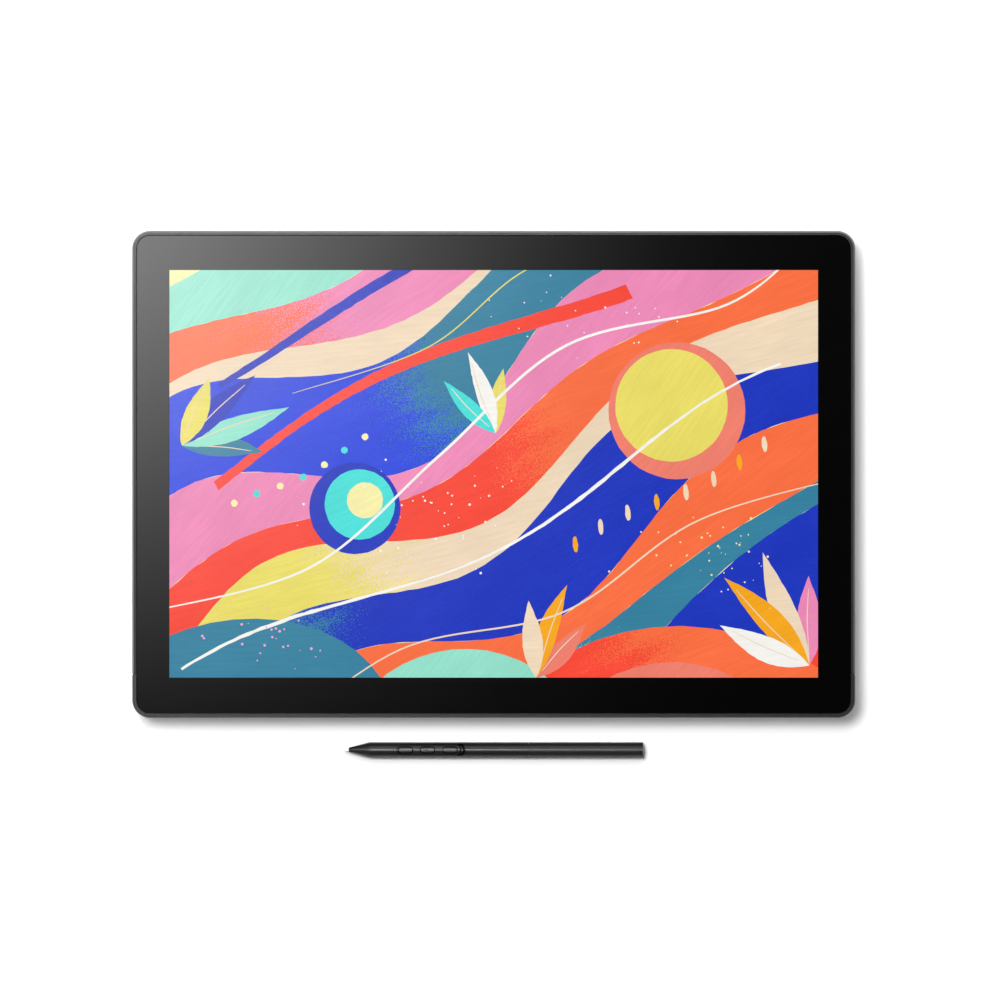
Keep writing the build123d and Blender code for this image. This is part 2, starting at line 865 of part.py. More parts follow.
with BuildPart() as ribbon_plugs:
    with BuildSketch(Plane.XY.offset(board_top)):
        with Locations((ribbon_x, display_plug_y)):
            Rectangle(ribbon_w, plug_d)
        with Locations((link_x, link_end)):
            Rectangle(link_w, plug_d)
    extrude(amount=plug_h)
    with BuildSketch(Plane.XY.offset(controller_z - plug_h)):
        with Locations((0, tail_plug_y)):
            Rectangle(ribbon_w, plug_d)
        with Locations((link_x, link_start)):
            Rectangle(link_w, plug_d)
    extrude(amount=plug_h)
save(ribbon_plugs, "ribbon_plugs")

# Hinges

hinge_plane = Plane(origin=(0, hinge_y, hinge_z), x_dir=(0, 1, 0), z_dir=(1, 0, 0))


def across(leg_x, offset):
    """Plane square to the hinge axis, offset along X from the middle of a leg."""
    return hinge_plane.offset(leg_x + offset)


with BuildPart() as hinge_brackets:
    for leg_x in leg_places:
        with BuildSketch(Plane(origin=(leg_x, bracket_mid, bracket_z))):
            Rectangle(2 * ear_outer, bracket_len)
        extrude(amount=bracket_t)
        for start in (-ear_outer, ear_inner):
            with BuildSketch(across(leg_x, start)):
                Circle(ear_r)
                with Locations((0, (bracket_z - hinge_z) / 2)):
                    Rectangle(2 * ear_r, bracket_z - hinge_z)
                Circle(pin_r, mode=Mode.SUBTRACT)
            extrude(amount=ear_t)
    with Locations(*[Location((x, y, bracket_z), (180, 0, 0)) for x, y in bracket_screw_places]):
        CounterSinkHole(bracket_screw_r, bracket_head_r, depth=bracket_t)
save(hinge_brackets, "hinge_brackets")

head_depth = bracket_head_r - bracket_screw_r

with BuildPart() as bracket_screws:
    for x, y in bracket_screw_places:
        with BuildSketch(Plane(origin=(x, y, bracket_z))):
            Circle(bracket_head_r)
        with BuildSketch(Plane(origin=(x, y, bracket_z + head_depth))):
            Circle(bracket_screw_r)
        loft()
        with BuildSketch(Plane(origin=(x, y, bracket_z + head_depth))):
            Circle(bracket_screw_r)
        extrude(amount=bracket_screw_len - head_depth)
save(bracket_screws, "bracket_screws")

with BuildPart() as hinge_pins:
    for leg_x in leg_places:
        with BuildSketch(across(leg_x, -ear_outer)):
            Circle(pin_r)
        extrude(amount=2 * ear_outer)
save(hinge_pins, "hinge_pins")

with BuildPart() as friction_washers:
    for leg_x in leg_places:
        for start in (-knuckle_w / 2 - washer_gap - washer_t, knuckle_w / 2 + washer_gap):
            with BuildSketch(across(leg_x, start)):
                Circle(washer_r)
                Circle(pin_r, mode=Mode.SUBTRACT)
            extrude(amount=washer_t)
save(friction_washers, "friction_washers")

# Legs, folded flat into their wells

leg_z = hinge_z - leg_t / 2
leg_free = hinge_y - leg_reach
leg_body_near = leg_free + pad_len
leg_body_far = hinge_y - hinge_shoulder

for leg_x, side in zip(leg_places, ("left", "right")):
    with BuildPart() as leg:
        with BuildSketch(Plane(origin=(leg_x, (leg_body_near + leg_body_far) / 2, leg_z))):
            Rectangle(leg_w, leg_body_far - leg_body_near)
        extrude(amount=leg_t)
        chamfer(leg.edges().filter_by(Axis.Y), edge_break)
        with BuildSketch(Plane(origin=(leg_x, hinge_y - hinge_shoulder / 2, leg_z))):
            Rectangle(knuckle_w, hinge_shoulder)
        extrude(amount=leg_t)
        with BuildSketch(across(leg_x, -knuckle_w / 2)):
            Circle(leg_t / 2)
        extrude(amount=knuckle_w)
        with BuildSketch(across(leg_x, -knuckle_w / 2)):
            Circle(pin_r + pin_fit)
        extrude(amount=knuckle_w, mode=Mode.SUBTRACT)
    save(leg, f"{side}_leg")

    with BuildPart() as leg_pad:
        with BuildSketch(Plane(origin=(leg_x, leg_free + pad_len / 2, leg_z))):
            Rectangle(leg_w, pad_len)
        extrude(amount=leg_t)
        fillet(leg_pad.edges().filter_by(Axis.Z).group_by(Axis.Y)[0], leg_round)
        chamfer(leg_pad.faces().sort_by(Axis.Z)[0].edges().sort_by(Axis.Y)[:-1], edge_break)
    save(leg_pad, f"{side}_leg_pad")

# Pen: sections are turned about its axis, lengths are counted from the nib's tip

pen_r = pen_d / 2
pen_y = near_y - pen_gap - pen_r
tip_x = -pen_len / 2
bore_r = pen_r - barrel_wall
cone_start = nib_out
cone_end = cone_start + cone_len
front_end = cone_end + front_share * pen_len
spigot_end = front_end + spigot_len
sleeve_start = front_end - ring_gap - spigot_len
cap_start = pen_len - cap_side - cap_dome
pen_section = Plane(origin=(tip_x, pen_y, pen_r), x_dir=(1, 0, 0), z_dir=(0, -1, 0))
pen_axis = Axis((tip_x, pen_y, pen_r), (1, 0, 0))


def pen_cut(along):
    """Plane square to the pen, at a distance from the nib's tip. Its Y axis points up."""
    return Plane(origin=(tip_x + along, pen_y, pen_r), x_dir=(0, 1, 0), z_dir=(1, 0, 0))


def pen_top(rise):
    """Plane parallel to the table over the nib's tip, at a height above the pen's axis."""
    return Plane(origin=(tip_x, pen_y, pen_r + rise))


def tube(start, end, outer_r, inner_r):
    """A plain tube or rod along the pen."""
    with BuildPart() as turned:
        with BuildSketch(pen_cut(start)):
            Circle(outer_r)
            if inner_r > 0:
                Circle(inner_r, mode=Mode.SUBTRACT)
        extrude(amount=end - start)
    return turned


with BuildPart() as nib:
    with BuildSketch(pen_section):
        with BuildLine():
            RadiusArc((0, 0), (nib_r, nib_r), nib_r)
            Polyline(
                (nib_r, nib_r),
                (nib_out + nib_travel, nib_r),
                (nib_out + nib_travel, nib_rod_r),
                (nib_len, nib_rod_r),
                (nib_len, 0),
                (0, 0),
            )
        make_face()
    revolve(axis=pen_axis)
save(nib, "nib")

cone_bore_r = nib_r + bore_fit
coil_start = cone_end - cone_len / 4
cone_back = cone_end + spigot_len

with BuildPart() as nose_cone:
    with BuildSketch(pen_section):
        with BuildLine():
            Polyline(
                (cone_start, cone_tip_r),
                (cone_end, pen_r),
                (cone_end, bore_r - thread_fit),
                (cone_back, bore_r - thread_fit),
                (cone_back, coil_r + bore_fit),
                (coil_start, coil_r + bore_fit),
                (coil_start, cone_bore_r),
                (cone_start, cone_bore_r),
                (cone_start, cone_tip_r),
            )
        make_face()
    revolve(axis=pen_axis)
save(nose_cone, "nose_cone")

# Front barrel, with a window for the switch plate

plate_mid = switch_start + plate_len / 2

with BuildPart() as front_barrel:
    add(tube(cone_end, front_end - ring_gap, pen_r, bore_r).part)
    add(tube(sleeve_start, front_end - ring_gap, pen_r, bore_r - barrel_wall).part)
    add(tube(front_end - ring_gap, spigot_end, bore_r - thread_fit, bore_r - barrel_wall).part)
    with BuildSketch(pen_top(0)):
        with Locations((plate_mid, 0)):
            SlotOverall(plate_len, plate_w)
    extrude(amount=pen_d, mode=Mode.SUBTRACT)
save(front_barrel, "front_barrel")

with BuildPart() as switch_plate:
    add(tube(switch_start, switch_start + plate_len, pen_r, bore_r).part)
    with BuildSketch(pen_top(0)):
        with Locations((plate_mid, 0)):
            SlotOverall(plate_len - 2 * plate_gap, plate_w - 2 * plate_gap)
        with Locations((plate_mid - grip_gap, 0)):
            SlotOverall(plate_len - 2 * plate_gap, plate_w - 2 * plate_gap, mode=Mode.INTERSECT)
    extrude(amount=pen_d, mode=Mode.INTERSECT)
    with BuildSketch(pen_top(0)):
        with Locations(*[(start + key_len / 2, 0) for start in key_starts]):
            SlotOverall(key_len + 2 * key_fit, key_w + 2 * key_fit)
    extrude(amount=pen_d, mode=Mode.SUBTRACT)
save(switch_plate, "switch_plate")

# Keys: each has a flange under the plate and a top that follows the barrel

board_rise = pen_board_rise + pen_board_t
key_foot = board_rise + dome_h + key_travel + press_gap

for start, name in zip(key_starts, ("front_key", "middle_key", "rear_key")):
    with BuildPart() as key:
        add(tube(start, start + key_len, pen_r + key_proud, 0).part)
        with BuildSketch(pen_top(key_foot)):
            with Locations((start + key_len / 2, 0)):
                SlotOverall(key_len, key_w)
        extrude(amount=pen_d, mode=Mode.INTERSECT)
        with BuildSketch(pen_top(key_foot)):
            with Locations((start + key_len / 2, 0)):
                Rectangle(key_len + 2 * key_flange_out, key_flange_w)
        extrude(amount=key_flange_t)
    save(key, name)

# Inside the front barrel

coil_end = coil_start + coil_len
can_start = nib_len + nib_travel + press_gap
can_end = can_start + sensor_can_len
board_start = can_end + bore_fit
board_end = sleeve_start - pen_board_back

pen_coil = tube(coil_start, coil_end, coil_r, coil_core_r)
save(pen_coil, "pen_coil")

pressure_sensor = tube(can_start, can_end, sensor_can_r, 0)
save(pressure_sensor, "pressure_sensor")

with BuildPart() as pen_carrier:
    add(tube(can_start, board_end, bore_r - carrier_fit, sensor_can_r).part)
    split(bisect_by=pen_top(pen_board_rise), keep=Keep.BOTTOM)
save(pen_carrier, "pen_carrier")

with BuildPart() as pen_board:
    with BuildSketch(pen_top(pen_board_rise)):
        with Locations(((board_start + board_end) / 2, 0)):
            Rectangle(board_end - board_start, pen_board_w)
    extrude(amount=pen_board_t)
save(pen_board, "pen_board")

with BuildPart() as key_switches:
    with BuildSketch(pen_top(board_rise)):
        with Locations(*[(start + key_len / 2, 0) for start in key_starts]):
            Rectangle(dome_w, dome_w)
    extrude(amount=dome_h)
save(key_switches, "key_switches")

# Rear barrel, with the end cap, the balance weight and the spare nibs

cap_plug = cap_start - cap_plug_len
dome_r = (pen_r**2 + cap_dome**2) / (2 * cap_dome)
rear_room = cap_plug - spigot_end
weight_start = cap_plug - weight_share * rear_room
holder_start = weight_start - holder_len
spare_len = spare_share * rear_room
spare_start = holder_start + holder_len / 2 - spare_len

rear_barrel = tube(front_end, cap_start, pen_r, bore_r)
save(rear_barrel, "rear_barrel")

with BuildPart() as end_cap:
    with BuildSketch(pen_section):
        with BuildLine():
            Polyline(
                (pen_len, 0),
                (cap_plug, 0),
                (cap_plug, bore_r),
                (cap_start, bore_r),
                (cap_start, pen_r),
                (cap_start + cap_side, pen_r),
            )
            RadiusArc((cap_start + cap_side, pen_r), (pen_len, 0), dome_r)
        make_face()
    revolve(axis=pen_axis)
save(end_cap, "end_cap")

balance_weight = tube(weight_start, cap_plug, weight_r, 0)
save(balance_weight, "balance_weight")

with BuildPart() as nib_holder:
    add(tube(holder_start, weight_start, weight_r, 0).part)
    with BuildSketch(pen_cut(holder_start)):
        with PolarLocations(spare_ring_r, spare_count):
            Circle(nib_rod_r)
    extrude(amount=holder_len / 2, mode=Mode.SUBTRACT)
save(nib_holder, "nib_holder")

with BuildPart() as spare_nibs:
    with BuildSketch(pen_cut(spare_start)):
        with PolarLocations(spare_ring_r, spare_count):
            Circle(nib_rod_r)
    extrude(amount=spare_len)
save(spare_nibs, "spare_nibs")
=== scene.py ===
import json
import math
import random

import bmesh
import bpy
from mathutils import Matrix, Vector
from mathutils.geometry import delaunay_2d_cdt


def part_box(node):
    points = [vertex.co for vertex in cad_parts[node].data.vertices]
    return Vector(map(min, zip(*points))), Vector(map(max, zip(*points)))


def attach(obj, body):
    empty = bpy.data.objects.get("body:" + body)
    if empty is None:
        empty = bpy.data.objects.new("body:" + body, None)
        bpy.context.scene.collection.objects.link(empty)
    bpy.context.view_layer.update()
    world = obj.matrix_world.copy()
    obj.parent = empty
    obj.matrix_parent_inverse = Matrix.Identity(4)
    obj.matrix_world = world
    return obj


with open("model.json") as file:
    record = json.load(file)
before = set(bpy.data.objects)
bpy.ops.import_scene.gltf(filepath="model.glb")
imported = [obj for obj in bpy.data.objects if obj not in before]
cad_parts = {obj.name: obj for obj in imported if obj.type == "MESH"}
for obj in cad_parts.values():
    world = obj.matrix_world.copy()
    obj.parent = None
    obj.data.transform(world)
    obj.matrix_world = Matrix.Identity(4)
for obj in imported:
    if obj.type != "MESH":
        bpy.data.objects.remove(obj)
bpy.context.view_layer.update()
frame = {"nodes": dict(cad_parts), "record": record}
nodes = frame["nodes"]

# Places, in metres, read from the solids
glass_low, glass_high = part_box("cover_glass")
cell_low, cell_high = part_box("display_cell")
barrel_low, barrel_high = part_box("front_barrel")
pen_y = (barrel_low.y + barrel_high.y) / 2

# The picture on the screen lies inside the dark rim of the display cell
RIM_SIDE = 0.0035
RIM_NEAR = 0.003
RIM_FAR = 0.0025
PICTURE_LOW = Vector((cell_low.x + RIM_SIDE, cell_low.y + RIM_NEAR))
PICTURE_HIGH = Vector((cell_high.x - RIM_SIDE, cell_high.y - RIM_FAR))
PICTURE_H = PICTURE_HIGH.y - PICTURE_LOW.y
PICTURE_W = PICTURE_HIGH.x - PICTURE_LOW.x
PICTURE_LIFT = 0.00005
PICTURE_DEPTH = 0.00004
MERGE_PICTURE = 0.000001    # in units of the picture's height

# The black print under the glass
PRINT_INSET = 0.0002
PRINT_CORNER = 0.007
PRINT_LIFT = 0.000012
PRINT_DEPTH = 0.00001
MERGE_PRINT = 0.0000001

# Slots in the pen's front barrel, along it, and the painted shade lines round them, which stand for the shade
# in the gaps round the switch plate and the keys
PLATE_START = 0.0146
PLATE_L = 0.0356
PLATE_W = 0.0058
PLATE_LINE = 0.00012
PLATE_LINE_INSET = 0.0001
PLATE_GAP = 0.0006
PLATE_GAP_INSET = -0.00005
GAP_FROM = barrel_low.x + PLATE_START + 0.9 * PLATE_L
GAP_FULL = barrel_low.x + PLATE_START + 0.97 * PLATE_L
KEY_L = 0.0078
KEY_LINE = 0.0003
KEY_LINE_INSET = 0.0001
# Colour of the painted shade in the gaps round the plate and the keys
PAINTED_SHADE_BLACK = (4, 4, 4)
MARK_R = 0.0004

# Gloss of the glass, which the picture carries where it lies under it, and of the pen
GLASS_IOR = 1.45
GLASS_ROUGH = 0.07
PEN_IOR = 1.36

# Where a rim counts as sloping or as level, by how far it faces up: sloping faces get a painted highlight and
# level faces painted shade, as well as their own gloss
SLOPE = 0.7
SLOPE_FULL, SLOPE_NONE = 0.1, 0.25
LEVEL_FROM, LEVEL_FULL = 0.96, 0.99
SATIN = 0.3

WAVE_TURNS = math.pi / 10   # a wave texture of scale 1 repeats every pi / 10

# Circuit boards: gloss of the mask and the pads, tracks to the metre, and the pads' spacing and size
MASK_ROUGH = 0.42
PAD_ROUGH = 0.3
TRACKS = 260.0
PAD_SPACING = 0.0022
PAD_SHARE = 0.16

# Clear films: the grain of their faces, and gloss
FILM_GRAIN = 0.00012
FILM_RELIEF = 0.0000008
FILM_ROUGH_LOW, FILM_ROUGH_HIGH = 0.092, 0.108
FILM_IOR = 1.5

# Paint of the picture: widths of its streaks, washes and grain, and of the edge where it breaks up
STREAK, STREAK_STRETCH = 0.0016, 0.09
WASH, WASH_STRETCH = 0.022, 0.5
GRAIN = 0.0005
DRY_FINE = 0.0007
DRY_COARSE, DRY_STRETCH = 0.012, 0.2

# Camera: straight above, with a long lens
CAMERA_UP = 4.0
FRAME_W = 0.5296
AIM = (0.00334, -0.00286)
SENSOR = 36.0
FAR_CLIP = 100

# Floor: it glows a little by itself where it is seen, and more with the distance from the middle
FLOOR_SIZE = 60
FLOOR_TONE = 0.86
FLOOR_LIFT = 0.02
LIFT_FROM, LIFT_FULL = 0.25, 1.6

# World: a ceiling that is dark overhead and paler to the far left, the light the room gives to matt
# faces, and the soft light overhead, by the tilt of a ray from upright
CEILING = 0.01
CEILING_FROM, CEILING_FULL = 0.3, 0.8
SIDE_X = 0.15
SIDE_Y = 0.45
ROOM_FILL = 0.25
GLOW = 7.6
GLOW_POWER = 2.1
GLOW_START = (-0.0475, 0.0345)
GLOW_END = (0.030, -0.0425)
GLOW_FROM, GLOW_FULL = 0.985, 0.996


def linear(colour):
    """An sRGB colour of 0 to 255 as the renderer's linear numbers."""
    shares = [c / 255 for c in colour]
    return [c / 12.92 if c <= 0.04045 else ((c + 0.055) / 1.055) ** 2.4 for c in shares]


class Looks:
    """The node tree of a new material, or of a given world, with short calls to add and join nodes."""

    def __init__(self, name=None, world=None):
        self.material = world or bpy.data.materials.new(name)
        self.material.use_nodes = True
        self.tree = self.material.node_tree
        self.principled = self.tree.nodes.get("Principled BSDF")
        self.output = self.tree.nodes["World Output" if world else "Material Output"]
        self.coords = self.add("ShaderNodeTexCoord").outputs["Object"]

    def set(self, node, socket, value):
        if isinstance(value, bpy.types.NodeSocket):
            self.tree.links.new(value, node.inputs[socket])
        elif isinstance(value, (list, tuple)) and len(value) == 3 and node.inputs[socket].type == "RGBA":
            node.inputs[socket].default_value = (*value, 1)
        else:
            node.inputs[socket].default_value = value

    def add(self, kind, inputs=None, **settings):
        node = self.tree.nodes.new(kind)
        for name, value in settings.items():
            setattr(node, name, value)
        for socket, value in (inputs or {}).items():
            self.set(node, socket, value)
        return node

    def shade(self, **inputs):
        for socket, value in inputs.items():
            self.set(self.principled, socket.replace("_", " "), value)

    def math(self, operation, a, b=0.0):
        return self.add("ShaderNodeMath", {0: a, 1: b}, operation=operation).outputs[0]

    def placed(self, scale=(1, 1, 1), turn=0.0):
        """Object coordinates, turned about Z, then scaled."""
        stretch = [1 / s for s in scale]
        inputs = {"Vector": self.coords, "Scale": stretch, "Rotation": (0, 0, turn)}
        return self.add("ShaderNodeMapping", inputs, vector_type="TEXTURE").outputs[0]

    def noise(self, size, detail=3.0, scale=(1, 1, 1), turn=0.0):
        inputs = {"Vector": self.placed(scale, turn), "Scale": 1 / size, "Detail": detail}
        return self.add("ShaderNodeTexNoise", inputs).outputs["Fac"]

    def cells(self, size):
        inputs = {"Vector": self.placed(), "Scale": 1 / size}
        return self.add("ShaderNodeTexVoronoi", inputs).outputs["Distance"]

    def bands(self, size, axis="X", scale=(1, 1, 1)):
        inputs = {"Vector": self.placed(scale), "Scale": WAVE_TURNS / size}
        return self.add("ShaderNodeTexWave", inputs, bands_direction=axis).outputs["Fac"]

    def spread(self, value, low, high, start=0.3, end=0.7):
        inputs = {"Value": value, "From Min": start, "From Max": end, "To Min": low, "To Max": high}
        return self.add("ShaderNodeMapRange", inputs).outputs[0]

    def mix(self, share, a, b):
        node = self.add("ShaderNodeMix", data_type="RGBA")
        self.set(node, 0, share)
        self.set(node, 6, a)
        self.set(node, 7, b)
        return node.outputs[2]

    def facing_up(self):
        """How far a face looks up or down: 1 for a level one, 0 for an upright one."""
        normal = self.add("ShaderNodeTexCoord").outputs["Normal"]
        return self.math("ABSOLUTE", self.add("ShaderNodeSeparateXYZ", {0: normal}).outputs["Z"])

    def bump(self, height, distance):
        inputs = {"Height": height, "Distance": distance, "Strength": 1.0}
        return self.add("ShaderNodeBump", inputs).outputs[0]


def surface(name, colour, rough, metal=0.0, tint=0.12, blotch=0.012, grain=0.0004, relief=0.00002,
            specular=0.5, ior=1.5, texture="noise"):
    """A solid finish: colour in soft blotches, a fine grain in relief, and gloss that varies with it."""
    looks = Looks(name)
    base = linear(colour)
    dark = [c * (1 - tint) for c in base]
    light = [min(1, c * (1 + tint)) for c in base]
    colour_share = looks.spread(looks.noise(blotch, 4.0), 0.0, 1.0)
    fine = looks.cells(grain) if texture == "cells" else looks.noise(grain, 2.0)
    gloss = looks.spread(fine, rough * 0.88, min(1, rough * 1.12))
    looks.shade(
        Base_Color=looks.mix(colour_share, dark, light),
        Roughness=gloss,
        Metallic=metal,
        Specular_IOR_Level=specular,
        IOR=ior,
        Normal=looks.bump(fine, relief),
    )
    return looks


def brushed(name, colour, rough, length=0.03, line=0.00012):
    """Metal sheet with fine lines along X."""
    looks = surface(name, colour, rough, metal=1.0, tint=0.06, blotch=0.03)
    lines = looks.noise(line, 3.0, (line / length, 1, 1))
    looks.shade(
        Roughness=looks.spread(lines, rough * 0.8, rough * 1.25),
        Normal=looks.bump(lines, 0.000008),
    )
    return looks


def circuit(name, raised, plain, pad, specular=0.5):
    """Solder mask over copper: tracks as a raised maze, pads as small bright discs."""
    looks = surface(name, plain, MASK_ROUGH, tint=0.2, blotch=0.004)
    inputs = {"Vector": looks.placed(), "Scale": TRACKS, "Mortar Size": 0.05,
              "Color1": (1, 1, 1), "Color2": (0.6, 0.6, 0.6), "Mortar": (0, 0, 0)}
    tracks = looks.add("ShaderNodeTexBrick", inputs, offset=0.37, offset_frequency=3, squash=0.6,
                       squash_frequency=2).outputs["Color"]
    pads = looks.math("LESS_THAN", looks.cells(PAD_SPACING), PAD_SHARE)
    mask = looks.mix(tracks, linear(raised), linear(plain))
    looks.shade(
        Base_Color=looks.mix(pads, mask, linear(pad)),
        Metallic=pads,
        Roughness=looks.spread(pads, MASK_ROUGH, PAD_ROUGH, 0, 1),
        Normal=looks.bump(tracks, 0.00003),
        Specular_IOR_Level=specular,
    )
    return looks


def ribbon(name):
    """Amber film with copper tracks that run along Y."""
    looks = surface(name, (176, 112, 34), 0.35, tint=0.1)
    tracks = looks.math("GREATER_THAN", looks.bands(0.0008, "X"), 0.5)
    looks.shade(
        Base_Color=looks.mix(tracks, linear((190, 124, 38)), linear((128, 70, 26))),
        Normal=looks.bump(tracks, 0.00001),
    )
    return looks


def knurled(name, colour):
    """Turned brass with a diamond knurl."""
    looks = surface(name, colour, 0.32, metal=1.0, tint=0.08, blotch=0.002)
    pitch = 0.0006
    both = looks.math("MULTIPLY", looks.bands(pitch, "DIAGONAL"),
                      looks.bands(pitch, "DIAGONAL", scale=(-1, 1, 1)))
    looks.shade(Normal=looks.bump(both, 0.00006))
    return looks


def wound(name):
    """Enamelled copper wire wound round X."""
    looks = surface(name, (150, 78, 38), 0.3, metal=0.6, tint=0.15, blotch=0.002)
    looks.shade(Normal=looks.bump(looks.bands(0.0003, "X"), 0.00005))
    return looks


def clear(name, tone, edge_tone):
    """A clear sheet: its broad faces let what lies under them show, and its edges mirror and tint."""
    looks = Looks(name)
    fine = looks.noise(FILM_GRAIN, 2.0)
    inputs = {"Color": (1, 1, 1), "Roughness": looks.spread(fine, FILM_ROUGH_LOW, FILM_ROUGH_HIGH),
              "Normal": looks.bump(fine, FILM_RELIEF)}
    mirror = looks.add("ShaderNodeBsdfAnisotropic", inputs).outputs[0]
    edge = looks.spread(looks.facing_up(), 1.0, 0.0, 0.5, 0.95)
    share = looks.math("MULTIPLY", looks.add("ShaderNodeFresnel", {"IOR": FILM_IOR}).outputs[0], edge)
    through = looks.add("ShaderNodeBsdfTransparent", {"Color": looks.mix(edge, tone, edge_tone)}).outputs[0]
    both = looks.add("ShaderNodeMixShader", {0: share, 1: through, 2: mirror}).outputs[0]
    looks.tree.links.new(both, looks.output.inputs["Surface"])
    looks.tree.nodes.remove(looks.principled)
    return looks


def printed_glass(name):
    """Glass that is black and glossy over its printed border, and open over the picture."""
    looks = surface(name, (3, 3, 3), GLASS_ROUGH, tint=0.2, blotch=0.01, relief=0.00000003, ior=GLASS_IOR)
    place = looks.add("ShaderNodeSeparateXYZ", {0: looks.coords}).outputs
    within = 1.0
    for axis, low, high in zip("XY", PICTURE_LOW, PICTURE_HIGH):
        off = looks.math("ABSOLUTE", looks.math("SUBTRACT", place[axis], (low + high) / 2))
        within = looks.math("MULTIPLY", looks.math("LESS_THAN", off, (high - low) / 2), within)
    window = looks.add("ShaderNodeBsdfTransparent").outputs[0]
    both = looks.add("ShaderNodeMixShader", {0: within, 1: looks.principled.outputs[0], 2: window}).outputs[0]
    looks.tree.links.new(both, looks.output.inputs["Surface"])
    return looks


def anodised(name, colour, painted_highlight_colour, painted_shade_colour, rough, edge_rough, top_rough, top_specular):
    """A bead-blasted dark rim, glossier on its sloping edge and its level top, with a painted highlight where
    the sloping edge is painted lighter, and painted shade where the level top is painted darker.
    """
    looks = surface(name, colour, rough, tint=0.08, blotch=0.02, grain=0.00018, relief=0.000004,
                    texture="cells", specular=SATIN)
    up = looks.facing_up()
    off = looks.math("ABSOLUTE", looks.math("SUBTRACT", up, SLOPE))
    edge = looks.spread(off, 1.0, 0.0, SLOPE_FULL, SLOPE_NONE)
    top = looks.spread(up, 0.0, 1.0, LEVEL_FROM, LEVEL_FULL)
    plain = looks.principled.inputs["Base Color"].links[0].from_socket
    gloss = looks.spread(edge, rough, edge_rough, 0, 1)
    # Base colour: a painted highlight on the sloping edge, painted shade on the level top
    looks.shade(
        Base_Color=looks.mix(top, looks.mix(edge, plain, linear(painted_highlight_colour)), linear(painted_shade_colour)),
        Roughness=looks.math("ADD", gloss, looks.math("MULTIPLY", top, top_rough - rough)),
        Specular_IOR_Level=looks.spread(top, SATIN, top_specular, 0, 1),
    )
    return looks


def painted_slot_shade(looks, place, middle, length, width, inset, half):
    """1 on a line round a slot that runs along X, inset from its outline, and 0 off that line: the mask of a
    painted shade line.
    """
    along = looks.math("ABSOLUTE", looks.math("SUBTRACT", place["X"], middle[0]))
    along = looks.math("MAXIMUM", looks.math("SUBTRACT", along, (length - width) / 2), 0.0)
    across = looks.math("SUBTRACT", place["Y"], middle[1])
    away = looks.math("SQRT", looks.math("ADD", looks.math("MULTIPLY", along, along),
                                         looks.math("MULTIPLY", across, across)))
    off = looks.math("ABSOLUTE", looks.math("SUBTRACT", away, looks.math("SUBTRACT", width / 2, inset)))
    return looks.math("GREATER_THAN", half, off)


def barrel(name, colour, rough, **settings):
    """Soft pen plastic, with painted shade: black lines without gloss round the keys and the switch plate,
    widening to a dark gap behind the plate.
    """
    looks = surface(name, colour, rough, **settings)
    place = looks.add("ShaderNodeSeparateXYZ", {0: looks.coords}).outputs
    # The painted shade line widens to a shaded gap at the rear end of the plate
    half = looks.spread(place["X"], PLATE_LINE, PLATE_GAP, GAP_FROM, GAP_FULL)
    inset = looks.spread(half, PLATE_LINE_INSET, PLATE_GAP_INSET, PLATE_LINE, PLATE_GAP)
    middle = (barrel_low.x + PLATE_START + PLATE_L / 2, pen_y)
    line = painted_slot_shade(looks, place, middle, PLATE_L, PLATE_W, inset, half)
    for key in ("front_key", "middle_key", "rear_key"):
        low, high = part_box(key)
        middle = ((low.x + high.x) / 2, pen_y)
        ring = painted_slot_shade(looks, place, middle, KEY_L, high.y - low.y, KEY_LINE_INSET, KEY_LINE)
        line = looks.math("MAXIMUM", line, ring)
    above = looks.math("GREATER_THAN", place["Z"], (barrel_low.z + barrel_high.z) / 2)
    line = looks.math("MULTIPLY", line, above)
    plain = looks.principled.inputs["Base Color"].links[0].from_socket
    gloss = looks.principled.inputs["Roughness"].links[0].from_socket
    # Painted shade on the line: near black, rough and without gloss
    looks.shade(
        Base_Color=looks.mix(line, plain, linear(PAINTED_SHADE_BLACK)),
        Roughness=looks.math("MAXIMUM", gloss, line),
        Specular_IOR_Level=looks.spread(line, 0.5, 0.0, 0, 1),
    )
    return looks


